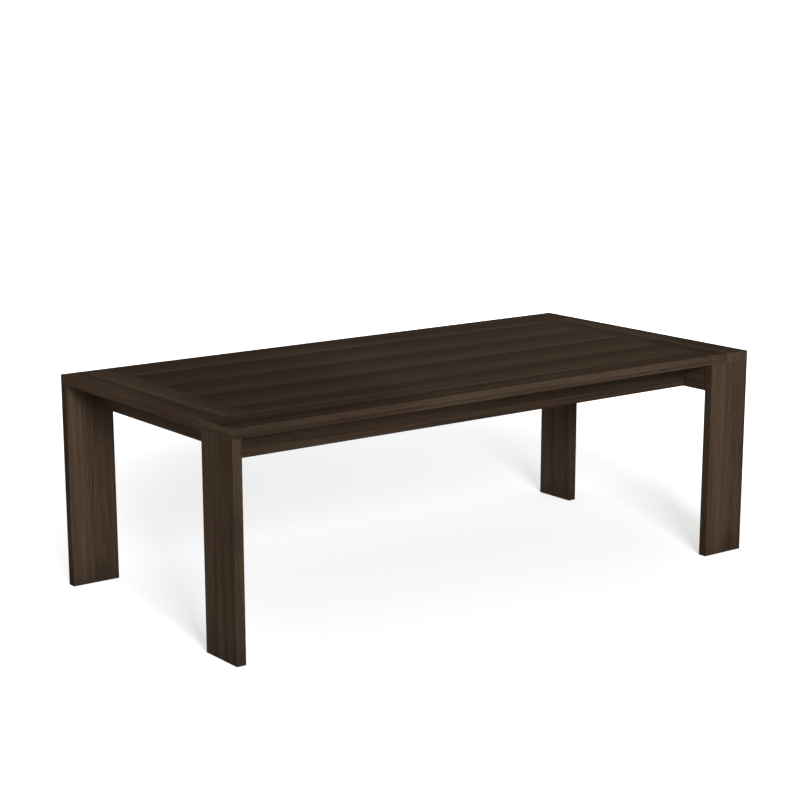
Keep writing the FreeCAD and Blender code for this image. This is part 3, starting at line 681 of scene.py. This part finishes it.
# To the eye: a white floor without an end, with a pale shadow under and behind the table.
material, tree, shader = new_material("studio_floor_paint")
tree.nodes.remove(shader)
place = add(tree, "TexCoord", {}).outputs["Object"]
inside = add(tree, "Mapping", {"Vector": place} | ELLIPSE, vector_type="TEXTURE").outputs[0]
away = add(tree, "VectorMath", {0: inside}, operation="LENGTH").outputs["Value"]
glow = add(tree, "MapRange", {"Value": away} | GLOW, interpolation_type="SMOOTHSTEP").outputs[0]
white = add(tree, "Emission", {"Color": WHITE, "Strength": glow}).outputs[0]
shade = add(tree, "BsdfDiffuse", {"Color": FLOOR_SHADE}).outputs[0]
shown = add(tree, "AddShader", {0: white, 1: shade}).outputs[0]
plain = add(tree, "BsdfDiffuse", {"Color": FLOOR_BOUNCE}).outputs[0]
mixed = add(tree, "MixShader", {0: seen_ray(tree), 1: plain, 2: shown}).outputs[0]
under = add(tree, "NewGeometry", {}).outputs["Backfacing"]
clear = add(tree, "BsdfTransparent", {}).outputs[0]
last = add(tree, "MixShader", {0: under, 1: mixed, 2: clear}).outputs[0]
tree.links.new(last, tree.nodes["Material Output"].inputs["Surface"])
floor.data.materials.append(material)
print("the floor is clear from below, so that the underside can be looked at")

# %% [markdown]
# World
#
# The world stands for the white walls of a studio: a weak light from all sides that fills the
# shadows. It could be a picture of a real room, but plain white tints nothing. It is seen as white
# in the same way as the floor, whatever light it gives.

# %% World
WORLD_LIGHT = 0.27
world = bpy.data.worlds.new("studio_white")
world.use_nodes = True
bpy.context.scene.world = world
tree = world.node_tree
soft = tree.nodes["Background"]
soft.inputs["Color"].default_value = WHITE
soft.inputs["Strength"].default_value = WORLD_LIGHT
white = add(tree, "Background", {"Color": WHITE, "Strength": 1.0}).outputs[0]
mixed = add(tree, "MixShader", {0: seen_ray(tree), 1: soft.outputs[0], 2: white}).outputs[0]
tree.links.new(mixed, tree.nodes["World Output"].inputs["Surface"])
print("the world lights with", WORLD_LIGHT, "and is seen as white")

# %% [markdown]
# Light
#
# One large soft lamp stands low in front of the table, a little to the left. The pale shadows of
# the legs run back and to the right over the floor, and their direction and length give the lamp's
# place. A Sun lamp would need no distance, but all its shadows would be equally sharp. A second,
# weaker lamp lifts the far sides. It casts no shadow, because only one set of shadows is seen.

# %% Lamps
AIM_HEIGHT = 0.4


def lamp(name, azimuth, elevation, distance, size, level, colour="#ffffff"):
    """A square area lamp aimed at the table; level 1 shows a facing white surface as white."""
    data = bpy.data.lights.new(name, "AREA")
    data.color = linear(colour)[:3]
    data.size = size
    data.energy = level * (math.pi * distance) ** 2
    thing = bpy.data.objects.new(name, data)
    turn = math.radians(azimuth)
    rise = math.radians(elevation)
    aim = Vector((math.cos(turn) * math.cos(rise), math.sin(turn) * math.cos(rise), math.sin(rise)))
    thing.location = aim * distance + Vector((0, 0, AIM_HEIGHT))
    thing.rotation_euler = aim.to_track_quat("Z", "Y").to_euler()
    bpy.context.scene.collection.objects.link(thing)
    print(name, "power", round(data.energy), "W")
    return data


lamp("key_softbox", azimuth=248, elevation=20.5, distance=9, size=2.4, level=1.08, colour="#fdfaff")
far_lamp = lamp("far_softbox", azimuth=60, elevation=20, distance=8, size=5, level=0.65)
far_lamp.use_shadow = False

# %% [markdown]
# Camera
#
# The camera stands where the photograph was taken from: in front of the table's left end, two
# metres up, and far away with a long lens. It could be placed by eye, but its place, lens and shift
# come from fitting the straight edges and the corners of the table, so that the two pictures can
# be laid over each other. The shift sets the table below the middle of the picture without turning
# the camera. The Standard view transform shows colours as they are written.

# %% Camera
CAMERA_PLACE = (-4.1414, -5.4316, 2.0143)
LOOKS_DOWN = 13.738
TURNS_RIGHT = 37.15
LENS_MM = 88.6
SENSOR_MM = 36
SHIFT_X = -0.0115
SHIFT_Y = 0.0921
data = bpy.data.cameras.new("camera")
data.lens = LENS_MM
data.sensor_width = SENSOR_MM
data.shift_x = SHIFT_X
data.shift_y = SHIFT_Y
camera = bpy.data.objects.new("camera", data)
camera.location = CAMERA_PLACE
camera.rotation_euler = (math.radians(90 - LOOKS_DOWN), 0, math.radians(-TURNS_RIGHT))
bpy.context.scene.collection.objects.link(camera)
bpy.context.scene.camera = camera
bpy.context.scene.view_settings.view_transform = "Standard"
print("camera at", [round(part, 2) for part in camera.location])
